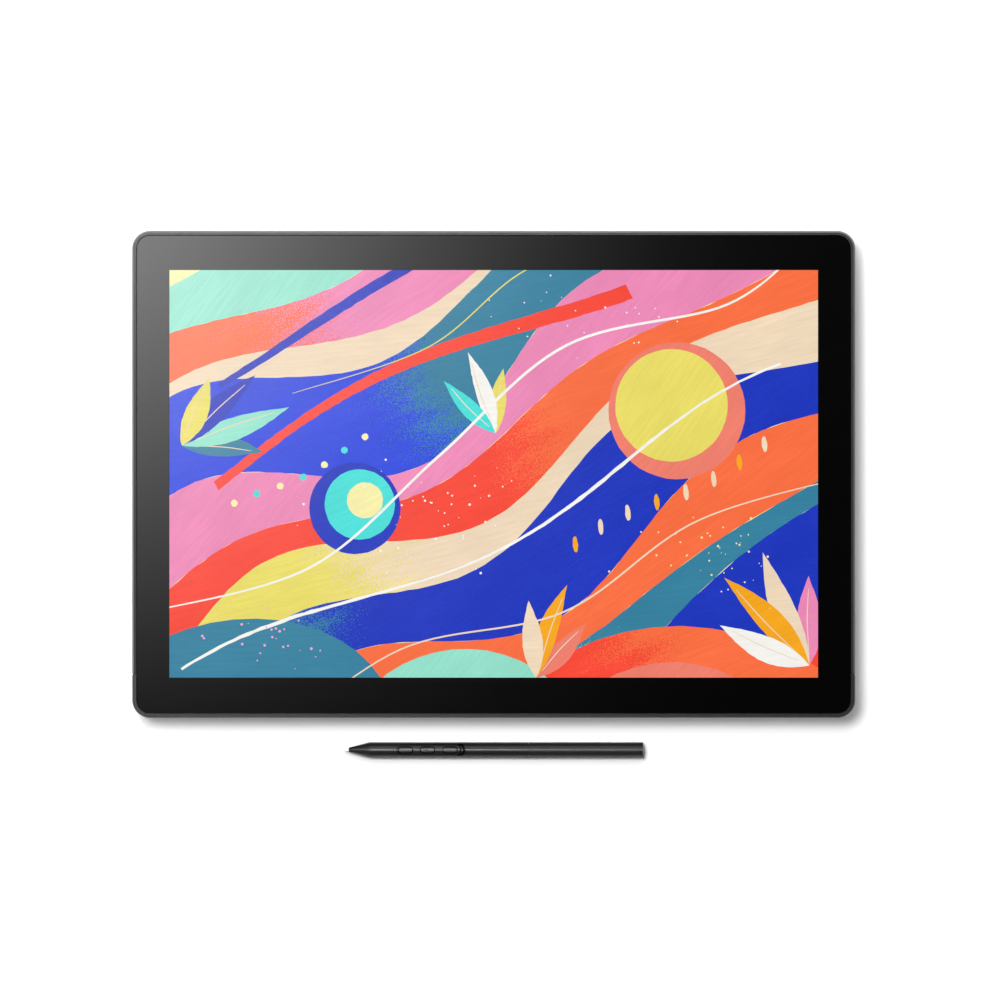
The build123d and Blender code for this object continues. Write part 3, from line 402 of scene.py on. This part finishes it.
LOOKS = {
    "screen_glass": printed_glass("screen_glass"),
    "black_tape": surface("black_tape", (24, 24, 25), 0.8, blotch=0.006, grain=0.0003),
    "clear_film": clear("clear_film", (1, 1, 1), (0.94, 0.95, 0.95)),
    "display_panel": surface("display_panel", (16, 17, 20), 0.18, tint=0.3, blotch=0.02, relief=0.000001),
    "clear_acrylic": clear("clear_acrylic", (0.94, 0.96, 0.97), (0.8, 0.88, 0.9)),
    "sheet_aluminium": brushed("sheet_aluminium", (196, 199, 203), 0.34),
    "circuit_board": circuit("circuit_board", (28, 104, 64), (14, 62, 42), (214, 190, 120)),
    "led_package": surface("led_package", (240, 232, 176), 0.3, tint=0.06, blotch=0.001),
    # Rims: the second colour is a painted highlight on the sloping edge, the third painted shade on the level
    # top
    "frame_metal": anodised("frame_metal", (46, 46, 48), (104, 104, 107), (36, 36, 37),
                            0.42, 0.3, 0.26, SATIN),
    "trim_plastic": anodised("trim_plastic", (62, 62, 63), (104, 104, 106), (27, 27, 28),
                             0.5, 0.34, 0.19, 0.75),
    "cover_plastic": surface("cover_plastic", (43, 43, 45), 0.6, blotch=0.04, grain=0.00035, relief=0.00004,
                             texture="cells"),
    "brass_insert": knurled("brass_insert", (205, 168, 96)),
    "black_screw": surface("black_screw", (34, 34, 36), 0.38, metal=0.7, blotch=0.002, grain=0.0001),
    "foot_rubber": surface("foot_rubber", (38, 38, 39), 0.88, blotch=0.005, grain=0.00022, relief=0.00004,
                           specular=0.3),
    "steel_screw": brushed("steel_screw", (186, 188, 192), 0.3, 0.004, 0.00008),
    "chip_black": surface("chip_black", (30, 30, 32), 0.55, blotch=0.004, grain=0.0001),
    "thermal_pad": surface("thermal_pad", (126, 150, 186), 0.8, blotch=0.003, grain=0.0003, relief=0.00005),
    "socket_steel": brushed("socket_steel", (178, 180, 184), 0.28, 0.01, 0.0001),
    "socket_plastic": surface("socket_plastic", (26, 26, 27), 0.5, blotch=0.003),
    "button_plastic": surface("button_plastic", (52, 52, 54), 0.4, blotch=0.004, grain=0.0002),
    "ribbon_film": ribbon("ribbon_film"),
    "leg_metal": surface("leg_metal", (46, 46, 48), 0.5, blotch=0.02, grain=0.0002, relief=0.00001,
                         texture="cells"),
    "nib_plastic": surface("nib_plastic", (250, 251, 252), 0.4, tint=0.04, blotch=0.001, grain=0.0001),
    "pen_plastic": surface("pen_plastic", (29, 29, 30), 0.32, ior=PEN_IOR, blotch=0.006, grain=0.00015,
                           relief=0.000006),
    "pen_soft": barrel("pen_soft", (29, 29, 30), 0.32, ior=PEN_IOR, blotch=0.008, grain=0.00012,
                       relief=0.000005),
    "key_plastic": barrel("key_plastic", (42, 42, 43), 0.32, ior=PEN_IOR, blotch=0.002, grain=0.00015,
                          relief=0.000006),
    "coil_copper": wound("coil_copper"),
}
# The board in the pen is painted near black, pads too, with little gloss: painted shade, so that the gap
# behind the keys looks dark.
# The rear barrel is a little rougher than the front one
BY_NODE = {
    "pen_board": circuit("pen_circuit_painted_shade", (8, 8, 9), (5, 5, 5), (20, 18, 14), 0.05),
    "rear_barrel": surface("pen_soft_rear", (31, 31, 32), 0.37, ior=PEN_IOR, blotch=0.008, grain=0.00012,
                           relief=0.000005),
}
for row in frame["record"]["subparts"]:
    shown = nodes[row["node"]]
    shown.data.materials.clear()
    shown.data.materials.append(BY_NODE.get(row["node"], LOOKS[row["material_slot"]]).material)


def piece(name, shell, body, materials):
    """Makes a finished shell a part of the object, riding on a body."""
    mesh = bpy.data.meshes.new(name)
    shell.to_mesh(mesh)
    shell.free()
    made = bpy.data.objects.new(name, mesh)
    bpy.context.scene.collection.objects.link(made)
    for material in materials:
        mesh.materials.append(material)
    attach(made, body)


def slab(shell, depth):
    """Closes a flat sheet of faces downwards into a thin slab."""
    rim = [edge for edge in shell.edges if edge.is_boundary]
    under = bmesh.ops.extrude_edge_only(shell, edges=rim)["geom"]
    low = [v for v in under if isinstance(v, bmesh.types.BMVert)]
    bmesh.ops.translate(shell, verts=low, vec=(0, 0, -depth))
    loops = [edge for edge in under if isinstance(edge, bmesh.types.BMEdge) and edge.is_boundary]
    bmesh.ops.triangle_fill(shell, edges=loops, use_beauty=False)
    bmesh.ops.recalc_face_normals(shell, faces=shell.faces)


# The picture on the screen: flat shapes in units of the picture's height, from its lower left corner

PAINTS = {
    "blue": (38, 70, 222), "deep": (28, 54, 190), "orange": (255, 112, 66), "red": (252, 72, 54),
    "pink": (243, 172, 220), "rose": (238, 138, 184), "yellow": (236, 222, 104), "pale": (250, 240, 170),
    "teal": (54, 130, 160), "turquoise": (72, 224, 218), "mint": (150, 226, 204), "cream": (242, 218, 188),
    "amber": (248, 168, 28), "salmon": (242, 128, 110), "white": (250, 248, 242),
}
# Paints that break up into another: first, second, and the stretch along the waves where it happens
DRY = {
    "blue_teal": ("blue", "teal", 0.75, 1.15),
    "orange_rose": ("orange", "rose", 0.55, 1.05),
    "turquoise_mint": ("turquoise", "mint", 0.2, 0.6),
    "teal_deep": ("teal", "deep", 0.35, 0.8),
    "red_orange": ("red", "orange", 0.9, 1.3),
    "amber_yellow": ("amber", "yellow", 0.25, 0.5),
    "deep_teal": ("deep", "teal", -0.65, -0.2),
    "pink_rose": ("pink", "rose", -0.1, 0.5),
    "yellow_cream": ("yellow", "cream", 0.45, 1.0),
    "blue_deep": ("blue", "deep", -0.3, 0.5),
    "mint_teal": ("mint", "teal", 0.7, 1.2),
}
ASPECT = PICTURE_W / PICTURE_H
MIDDLE = (ASPECT / 2, 0.5)
SLANT = math.radians(27)
BAND_STEPS = 90
LEAF_STEPS = 24
LINE_STEPS = 14
draw = random.Random(16)
shapes = []


def turned(points, angle, middle=MIDDLE):
    cos, sin = math.cos(angle), math.sin(angle)
    return [(middle[0] + x * cos - y * sin, middle[1] + x * sin + y * cos) for x, y in points]


def shape(paint, points, rag=0.0):
    """Adds a closed outline, anticlockwise. rag moves its points a little, as a hand-cut edge."""
    shaken = [(x + draw.uniform(-rag, rag), y + draw.uniform(-rag, rag)) for x, y in points]
    twice_area = sum(a[0] * b[1] - b[0] * a[1] for a, b in zip(shaken, shaken[1:] + shaken[:1]))
    shapes.append((paint, shaken if twice_area > 0 else shaken[::-1]))


def wave(middle, swing, turns, phase):
    """A value that swings along the waves, as a function of the place on them."""
    return lambda x: middle + swing * math.sin(2 * math.pi * (turns * x + phase))


def band(paint, top, width, start=-1.1, end=1.1, rag=0.001):
    """A band below a wavy top line. Its width swings too and stays above zero. Returns its lower line."""
    along = [start + (end - start) * i / BAND_STEPS for i in range(BAND_STEPS + 1)]
    low = [(x, top(x) - width(x)) for x in reversed(along)]
    shape(paint, turned([(x, top(x)) for x in along] + low, SLANT), rag)
    return lambda x: top(x) - width(x)


def disc(paint, x, y, wide, high=None, turn=0.0, rag=0.0007, points=44):
    ring = [2 * math.pi * i / points for i in range(points)]
    outline = [(wide * math.cos(a), (high or wide) * math.sin(a)) for a in ring]
    shape(paint, turned(outline, turn, (x, y)), rag)


def leaf(paint, x, y, length, wide, turn, bend=0.0, rag=0.0007):
    """A pointed leaf from its foot at x, y, with its tip at the given turn."""
    sides = []
    for side in (1, -1):
        for i in range(LEAF_STEPS):
            share = i / LEAF_STEPS if side == 1 else 1 - i / LEAF_STEPS
            half = side * wide * math.sin(math.pi * share ** 0.85) + bend * math.sin(math.pi * share)
            sides.append((share * length, half))
    shape(paint, turned(sides, turn, (x, y)), rag)


def line(paint, points, wide):
    """A thin drawn line through the points, thinner at its ends."""
    smooth = []
    for i in range(len(points) - 1):
        before, after = points[max(i - 1, 0)], points[min(i + 2, len(points) - 1)]
        for j in range(LINE_STEPS):
            t = j / LINE_STEPS
            smooth.append(tuple(
                0.5 * (2 * p + (q - b) * t + (2 * b - 5 * p + 4 * q - a) * t ** 2
                       + (3 * p - b - 3 * q + a) * t ** 3)
                for b, p, q, a in zip(before, points[i], points[i + 1], after)
            ))
    smooth.append(points[-1])
    left, right = [], []
    for i, (x, y) in enumerate(smooth):
        ahead, behind = smooth[min(i + 1, len(smooth) - 1)], smooth[max(i - 1, 0)]
        way = Vector((ahead[0] - behind[0], ahead[1] - behind[1])).normalized()
        share = math.sin(math.pi * (0.04 + 0.92 * i / (len(smooth) - 1))) ** 0.5
        left.append((x - way.y * wide * share, y + way.x * wide * share))
        right.append((x + way.y * wide * share, y - way.x * wide * share))
    shape(paint, left + right[::-1])


def specks(paint, x, y, spread_x, spread_y, count, size):
    """Small drops, denser in the middle."""
    for _ in range(count):
        place = (x + draw.gauss(0, spread_x), y + draw.gauss(0, spread_y))
        disc(paint, *place, size * draw.uniform(0.4, 1.3), rag=0.0002, points=7)


def spray(paints, x, y, lengths, turn, fan, wide):
    """A fan of leaves from one foot, each with a drawn rib."""
    for i, length in enumerate(lengths):
        angle = turn + fan * (i - (len(lengths) - 1) / 2)
        leaf(paints[i % len(paints)], x, y, length, wide, angle, draw.uniform(-0.01, 0.01))
        rib = turned([(0.12 * length, 0), (0.5 * length, 0.004), (0.86 * length, 0)], angle, (x, y))
        line("cream", rib, 0.0012)


def paint_picture():
    """Slanting waves and hills with two suns, sprays of leaves, drawn lines and specks."""
    shape("pale", [(0, 0), (ASPECT, 0), (ASPECT, 1), (0, 1)])
    edge = wave(0.80, 0.03, 0.7, 0.1)
    for paint, width, swing, turns, phase in (
        ("turquoise_mint", 0.16, 0.06, 0.9, 0.30),
        ("orange_rose", 0.15, 0.05, 0.7, 0.05),
        ("cream", 0.055, 0.03, 1.1, 0.50),
        ("blue_teal", 0.21, 0.07, 0.6, 0.40),
        ("pink_rose", 0.12, 0.06, 0.8, 0.85),
        ("red_orange", 0.11, 0.04, 0.9, 0.20),
        ("yellow_cream", 0.10, 0.05, 0.7, 0.60),
        ("teal_deep", 0.19, 0.06, 0.8, 0.10),
        ("orange", 0.13, 0.05, 0.9, 0.75),
        ("mint_teal", 0.09, 0.04, 0.6, 0.35),
        ("blue_deep", 0.25, 0.05, 0.8, 0.95),
        ("red", 0.3, 0.03, 0.8, 0.95),
    ):
        edge = band(paint, edge, wave(width, swing, turns, phase))
    # Hills
    disc("deep_teal", 0.16, -0.16, 0.40, 0.30, 0.2)
    disc("red_orange", 1.30, -0.30, 0.52, 0.42, -0.25)
    disc("salmon", 1.22, -0.36, 0.36, 0.40, -0.2)
    disc("turquoise_mint", 0.72, -0.20, 0.30, 0.27, 0.1)
    # Suns
    disc("salmon", 1.245, 0.655, 0.168)
    disc("amber_yellow", 1.232, 0.668, 0.138)
    disc("deep", 0.455, 0.415, 0.112)
    disc("turquoise", 0.467, 0.425, 0.086)
    disc("pale", 0.480, 0.435, 0.044)
    # Narrow waves laid over
    band("red", wave(0.305, 0.05, 0.6, 0.34), wave(0.030, 0.008, 0.6, 0.0), -0.62, 0.5)
    band("white", wave(-0.12, 0.05, 0.7, 0.80), wave(0.007, 0.002, 1.2, 0.0), -0.9, 0.75)
    band("deep", wave(0.53, 0.03, 0.7, 0.20), wave(0.020, 0.006, 0.9, 0.3), -0.5, 1.1)
    # Sprays of leaves
    spray(("teal", "mint", "deep", "yellow"), 0.03, 0.57, (0.20, 0.28, 0.25, 0.18), 0.55, 0.42, 0.028)
    spray(("rose", "cream", "amber", "white"), 1.57, 0.03, (0.22, 0.30, 0.30, 0.24), 2.15, 0.38, 0.031)
    spray(("yellow", "white", "turquoise"), 0.80, 0.60, (0.16, 0.21, 0.18), 1.9, 0.45, 0.021)
    spray(("salmon", "amber", "cream"), 0.90, 0.00, (0.18, 0.24, 0.19), 1.25, 0.42, 0.025)
    # Drawn lines
    for paint, wide, points in (
        ("white", 0.0034, [(-0.9, 0.08), (-0.5, 0.0), (-0.1, 0.10), (0.3, 0.20), (0.7, 0.11), (0.95, 0.16)]),
        ("cream", 0.0022, [(-0.8, -0.34), (-0.4, -0.28), (0.0, -0.38), (0.4, -0.33), (0.85, -0.42)]),
        ("yellow", 0.0015, [(-0.35, 0.40), (0.0, 0.35), (0.3, 0.41), (0.6, 0.36), (0.75, 0.38)]),
    ):
        line(paint, turned(points, SLANT), wide)
    # Short strokes and drops in rows
    for i in range(8):
        foot = turned([(0.10 + 0.075 * i, -0.245 + 0.012 * math.sin(i))], SLANT)[0]
        disc("cream" if i % 3 else "amber", *foot, 0.020, 0.0065, SLANT + 1.2, points=18)
    for i in range(7):
        foot = turned([(-0.60 + 0.06 * i, 0.215 + 0.01 * math.cos(i))], SLANT)[0]
        disc("turquoise" if i % 2 else "pale", *foot, 0.0085, points=16)
    # Specks
    specks("white", 0.66, 0.40, 0.12, 0.07, 46, 0.0026)
    specks("pale", 1.36, 0.30, 0.09, 0.06, 40, 0.0024)
    specks("pink", 0.24, 0.10, 0.09, 0.05, 26, 0.0028)
    specks("white", 0.98, 0.88, 0.13, 0.05, 26, 0.0022)


paint_picture()
stroke = random.Random(7)


def paint_looks(name):
    """Lit paint: brush streaks in its colour, a fine grain, and dry patches of a second colour."""
    looks = Looks("paint_" + name)
    turn = SLANT + stroke.uniform(-0.5, 0.5)
    streaks = looks.spread(looks.noise(STREAK, 4.0, (STREAK_STRETCH, 1, 1), turn), 0.0, 1.0, 0.35, 0.75)
    washes = looks.spread(looks.noise(WASH, 2.0, (WASH_STRETCH, 1, 1), turn), 0.0, 1.0)
    grain = looks.spread(looks.noise(GRAIN, 2.0), 0.0, 1.0, 0.45, 0.75)

    def brushed_paint(colour):
        base = linear(colour)
        worn = looks.mix(washes, [c * 0.93 for c in base], [min(1, c * 1.04 + 0.004) for c in base])
        worn = looks.mix(looks.math("MULTIPLY", streaks, 0.6), worn, [c * 0.84 for c in base])
        return looks.mix(looks.math("MULTIPLY", grain, 0.3), worn, [min(1, c * 1.25 + 0.04) for c in base])

    if name in DRY:
        first, second, start, end = DRY[name]
        along = looks.add("ShaderNodeSeparateXYZ", {0: looks.placed(turn=SLANT)}).outputs["X"]
        reach = PICTURE_H * (ASPECT + 1)
        share = looks.spread(along, 0.0, 1.0, reach * (start - 1) / 2, reach * (end - 1) / 2)
        fine = looks.noise(DRY_FINE, 2.0)
        coarse = looks.noise(DRY_COARSE, 3.0, (DRY_STRETCH, 1, 1), SLANT)
        rough_edge = looks.math("ADD", looks.math("MULTIPLY", fine, 0.7), looks.math("MULTIPLY", coarse, 0.3))
        over = looks.math("GREATER_THAN", looks.spread(share, 0.2, 0.8, 0, 1), rough_edge)
        lit = looks.mix(over, brushed_paint(PAINTS[first]), brushed_paint(PAINTS[second]))
    else:
        lit = brushed_paint(PAINTS[name])
    looks.shade(
        Base_Color=(0, 0, 0), IOR=GLASS_IOR, Roughness=GLASS_ROUGH, Emission_Color=lit, Emission_Strength=1.0,
    )
    return looks.material


def make_picture():
    """Cuts the shapes into one flat sheet, where each face has the paint that lies on top."""
    points, faces = [], []
    for paint, outline in shapes:
        faces.append(list(range(len(points), len(points) + len(outline))))
        points += [Vector(p) for p in outline]
    flat, _, cut, _, _, owners = delaunay_2d_cdt(points, [], faces, 0, MERGE_PICTURE, True)
    names = [*PAINTS, *DRY]
    top_z = cell_high.z + PICTURE_LIFT
    shell = bmesh.new()
    made = [
        shell.verts.new((PICTURE_LOW.x + p.x * PICTURE_H, PICTURE_LOW.y + p.y * PICTURE_H, top_z))
        for p in flat
    ]
    for corners, owner in zip(cut, owners):
        if 0 in owner:
            face = shell.faces.new([made[i] for i in corners])
            face.material_index = names.index(shapes[max(owner)][0])
    bmesh.ops.delete(shell, geom=[v for v in shell.verts if not v.link_faces], context="VERTS")
    slab(shell, PICTURE_DEPTH)
    piece("screen_picture", shell, "tablet", [paint_looks(name) for name in names])


make_picture()

# Black print on the underside of the glass, round the picture


def rounded(low, high, radius, steps=12):
    """Corner points of a rectangle with rounded corners, anticlockwise."""
    ring = []
    for x, y, start in ((high.x, high.y, 0), (low.x, high.y, 90), (low.x, low.y, 180), (high.x, low.y, 270)):
        inward = Vector((-1 if x == high.x else 1, -1 if y == high.y else 1))
        centre = Vector((x, y)) + radius * inward
        for i in range(steps + 1):
            angle = math.radians(start + 90 * i / steps)
            ring.append(centre + radius * Vector((math.cos(angle), math.sin(angle))))
    return ring


def make_border():
    """A thin black sheet under the glass, open over the picture."""
    inset = Vector((PRINT_INSET, PRINT_INSET))
    outer = rounded(glass_low.xy + inset, glass_high.xy - inset, PRINT_CORNER)
    inner = [PICTURE_HIGH, Vector((PICTURE_LOW.x, PICTURE_HIGH.y)),
             PICTURE_LOW, Vector((PICTURE_HIGH.x, PICTURE_LOW.y))]
    points = outer + inner
    faces = [list(range(len(outer))), list(range(len(outer), len(points)))]
    flat, _, cut, _, _, owners = delaunay_2d_cdt(points, [], faces, 0, MERGE_PRINT, True)
    shell = bmesh.new()
    made = [shell.verts.new((p.x, p.y, glass_low.z + PRINT_LIFT)) for p in flat]
    for corners, owner in zip(cut, owners):
        if 0 in owner and 1 not in owner:
            shell.faces.new([made[i] for i in corners])
    slab(shell, PRINT_DEPTH)
    print_black = surface("border_print", (3, 3, 3), 0.5, tint=0.2, blotch=0.01, relief=0.000001)
    piece("border_print", shell, "tablet", [print_black.material])


make_border()

# A small round mark to feel on the middle key


def make_key_mark():
    """A flat ball half sunk into the top of the key."""
    low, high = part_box("middle_key")
    place = ((low.x + high.x) / 2, (low.y + high.y) / 2, high.z - MARK_R / 8)
    shell = bmesh.new()
    bmesh.ops.create_uvsphere(shell, u_segments=20, v_segments=12, radius=MARK_R)
    bmesh.ops.scale(shell, verts=shell.verts, vec=(1, 1, 0.5))
    bmesh.ops.translate(shell, verts=shell.verts, vec=place)
    for face in shell.faces:
        face.smooth = True
    piece("key_mark", shell, "middle_key", [LOOKS["key_plastic"].material])


make_key_mark()

# Floor, lamps and world


def seen_rays(looks):
    """1 for the rays that show the background: seen, mirrored or let through."""
    path = looks.add("ShaderNodeLightPath").outputs
    return looks.math("MAXIMUM", looks.math("MAXIMUM", path["Is Camera Ray"], path["Is Glossy Ray"]),
                      path["Is Transmission Ray"])


def make_floor():
    bpy.ops.mesh.primitive_plane_add(size=FLOOR_SIZE)
    floor = bpy.context.object
    floor.name = "floor"
    looks = Looks("floor")
    seen = seen_rays(looks)
    far = looks.add("ShaderNodeVectorMath", {0: looks.coords}, operation="LENGTH").outputs["Value"]
    lift = looks.spread(far, FLOOR_LIFT, 1.0, LIFT_FROM, LIFT_FULL)
    looks.shade(
        Base_Color=(FLOOR_TONE, FLOOR_TONE, FLOOR_TONE),
        Roughness=1.0,
        Specular_IOR_Level=0.0,
        Emission_Color=(1, 1, 1),
        Emission_Strength=looks.math("MULTIPLY", seen, lift),
    )
    under = looks.add("ShaderNodeNewGeometry").outputs["Backfacing"]
    open_below = looks.add(
        "ShaderNodeMixShader",
        {0: under, 1: looks.principled.outputs[0], 2: looks.add("ShaderNodeBsdfTransparent").outputs[0]},
    )
    looks.tree.links.new(open_below.outputs[0], looks.output.inputs["Surface"])
    floor.data.materials.append(looks.material)
    return floor


def group(name, members):
    """A collection outside the scene, which only says what a lamp lights or what blocks it."""
    made = bpy.data.collections.new(name)
    for member in members:
        made.objects.link(member)
    return made


def make_lamp(name, place, aim, width, height, power, glossy=True, diffuse=True, only=None, shadows=None):
    """An unseen area lamp. only lists what it lights and shadows what blocks it, if not everything."""
    lamp = bpy.data.lights.new(name, "AREA")
    lamp.shape = "RECTANGLE"
    lamp.size, lamp.size_y, lamp.energy = width, height, power
    made = bpy.data.objects.new(name, lamp)
    bpy.context.scene.collection.objects.link(made)
    made.location = place
    made.rotation_mode = "QUATERNION"
    made.rotation_quaternion = (Vector(aim) - Vector(place)).to_track_quat("-Z", "Y")
    made.visible_camera = False
    made.visible_glossy = glossy
    made.visible_diffuse = diffuse
    if only:
        made.light_linking.receiver_collection = group(name + "_lit", only)
    if shadows:
        made.light_linking.blocker_collection = group(name + "_shadows", shadows)


def make_world():
    """A pale room with a dark ceiling, and overhead a soft light that grows to the far left corner."""
    world = bpy.data.worlds.new("studio")
    bpy.context.scene.world = world
    looks = Looks(world=world)
    generated = looks.add("ShaderNodeTexCoord").outputs["Generated"]
    way = looks.add("ShaderNodeSeparateXYZ", {0: generated}).outputs
    side = looks.math("SUBTRACT", looks.math("MULTIPLY", way["Y"], SIDE_Y),
                      looks.math("MULTIPLY", way["X"], SIDE_X))
    room = looks.spread(looks.math("SUBTRACT", way["Z"], side), 1.0, CEILING, CEILING_FROM, CEILING_FULL)
    room = looks.math("MULTIPLY", room, looks.spread(seen_rays(looks), ROOM_FILL, 1.0, 0, 1))
    room = looks.math("MAXIMUM", room, looks.add("ShaderNodeLightPath").outputs["Is Camera Ray"])
    across = looks.spread(way["X"], 0.0, 1.0, GLOW_END[0], GLOW_START[0])
    along = looks.spread(way["Y"], 0.0, 1.0, GLOW_END[1], GLOW_START[1])
    glow = looks.math("POWER", looks.math("MULTIPLY", across, along), GLOW_POWER)
    glow = looks.math("MULTIPLY", glow, looks.spread(way["Z"], 0.0, GLOW, GLOW_FROM, GLOW_FULL))
    back = looks.add("ShaderNodeBackground", {"Color": (1, 1, 1), "Strength": looks.math("ADD", room, glow)})
    looks.tree.links.new(back.outputs[0], looks.output.inputs["Surface"])


# What is seen of the pen
PEN_NAMES = ("nib", "nose_cone", "front_barrel", "switch_plate", "front_key", "middle_key", "rear_key",
             "rear_barrel", "end_cap")
pen_nodes = [nodes[name] for name in PEN_NAMES]
tablet_nodes = [node for name, node in nodes.items() if name not in PEN_NAMES]

# The pen has lamps of its own. pen_fall lights the floor and only the pen shades it, for a soft fall
floor = make_floor()
make_lamp("key", (-0.62, 0.62, 3.0), (0, 0, 0), 1.05, 1.05, 96.0, glossy=False)
make_lamp("rim_shine", (-0.375, 0.43, 1.6), (-0.375, 0.0, 0), 0.85, 0.14, 22.0, diffuse=False,
          only=tablet_nodes)
make_lamp("pen_shine", (-0.375, -0.04, 1.6), (-0.375, -0.04, 0), 0.85, 0.28, 32.0, diffuse=False,
          only=pen_nodes)
make_lamp("pen_card", (0.0, 0.9, 0.9), (0, -0.136, 0), 1.2, 0.6, 8.0, only=pen_nodes)
make_lamp("pen_fall", (-0.1, 0.78, 1.12), (0, -0.14, 0), 0.9, 0.6, 8.6, only=[floor], shadows=pen_nodes)
make_lamp("left_card", (-1.0, 0.0, 0.3), (0, 0, 0), 0.9, 0.3, 2.0, glossy=False)
make_lamp("far_card", (0.0, 1.0, 0.22), (0, 0, 0), 0.9, 0.3, 8.0, glossy=False)
make_world()

# Camera
scene = bpy.context.scene
scene.view_settings.view_transform = "Standard"
lens = bpy.data.cameras.new("camera")
lens.sensor_width = SENSOR
lens.lens = SENSOR * CAMERA_UP / FRAME_W
lens.clip_end = FAR_CLIP
camera = bpy.data.objects.new("camera", lens)
scene.collection.objects.link(camera)
camera.location = (*AIM, glass_high.z + CAMERA_UP)
scene.camera = camera
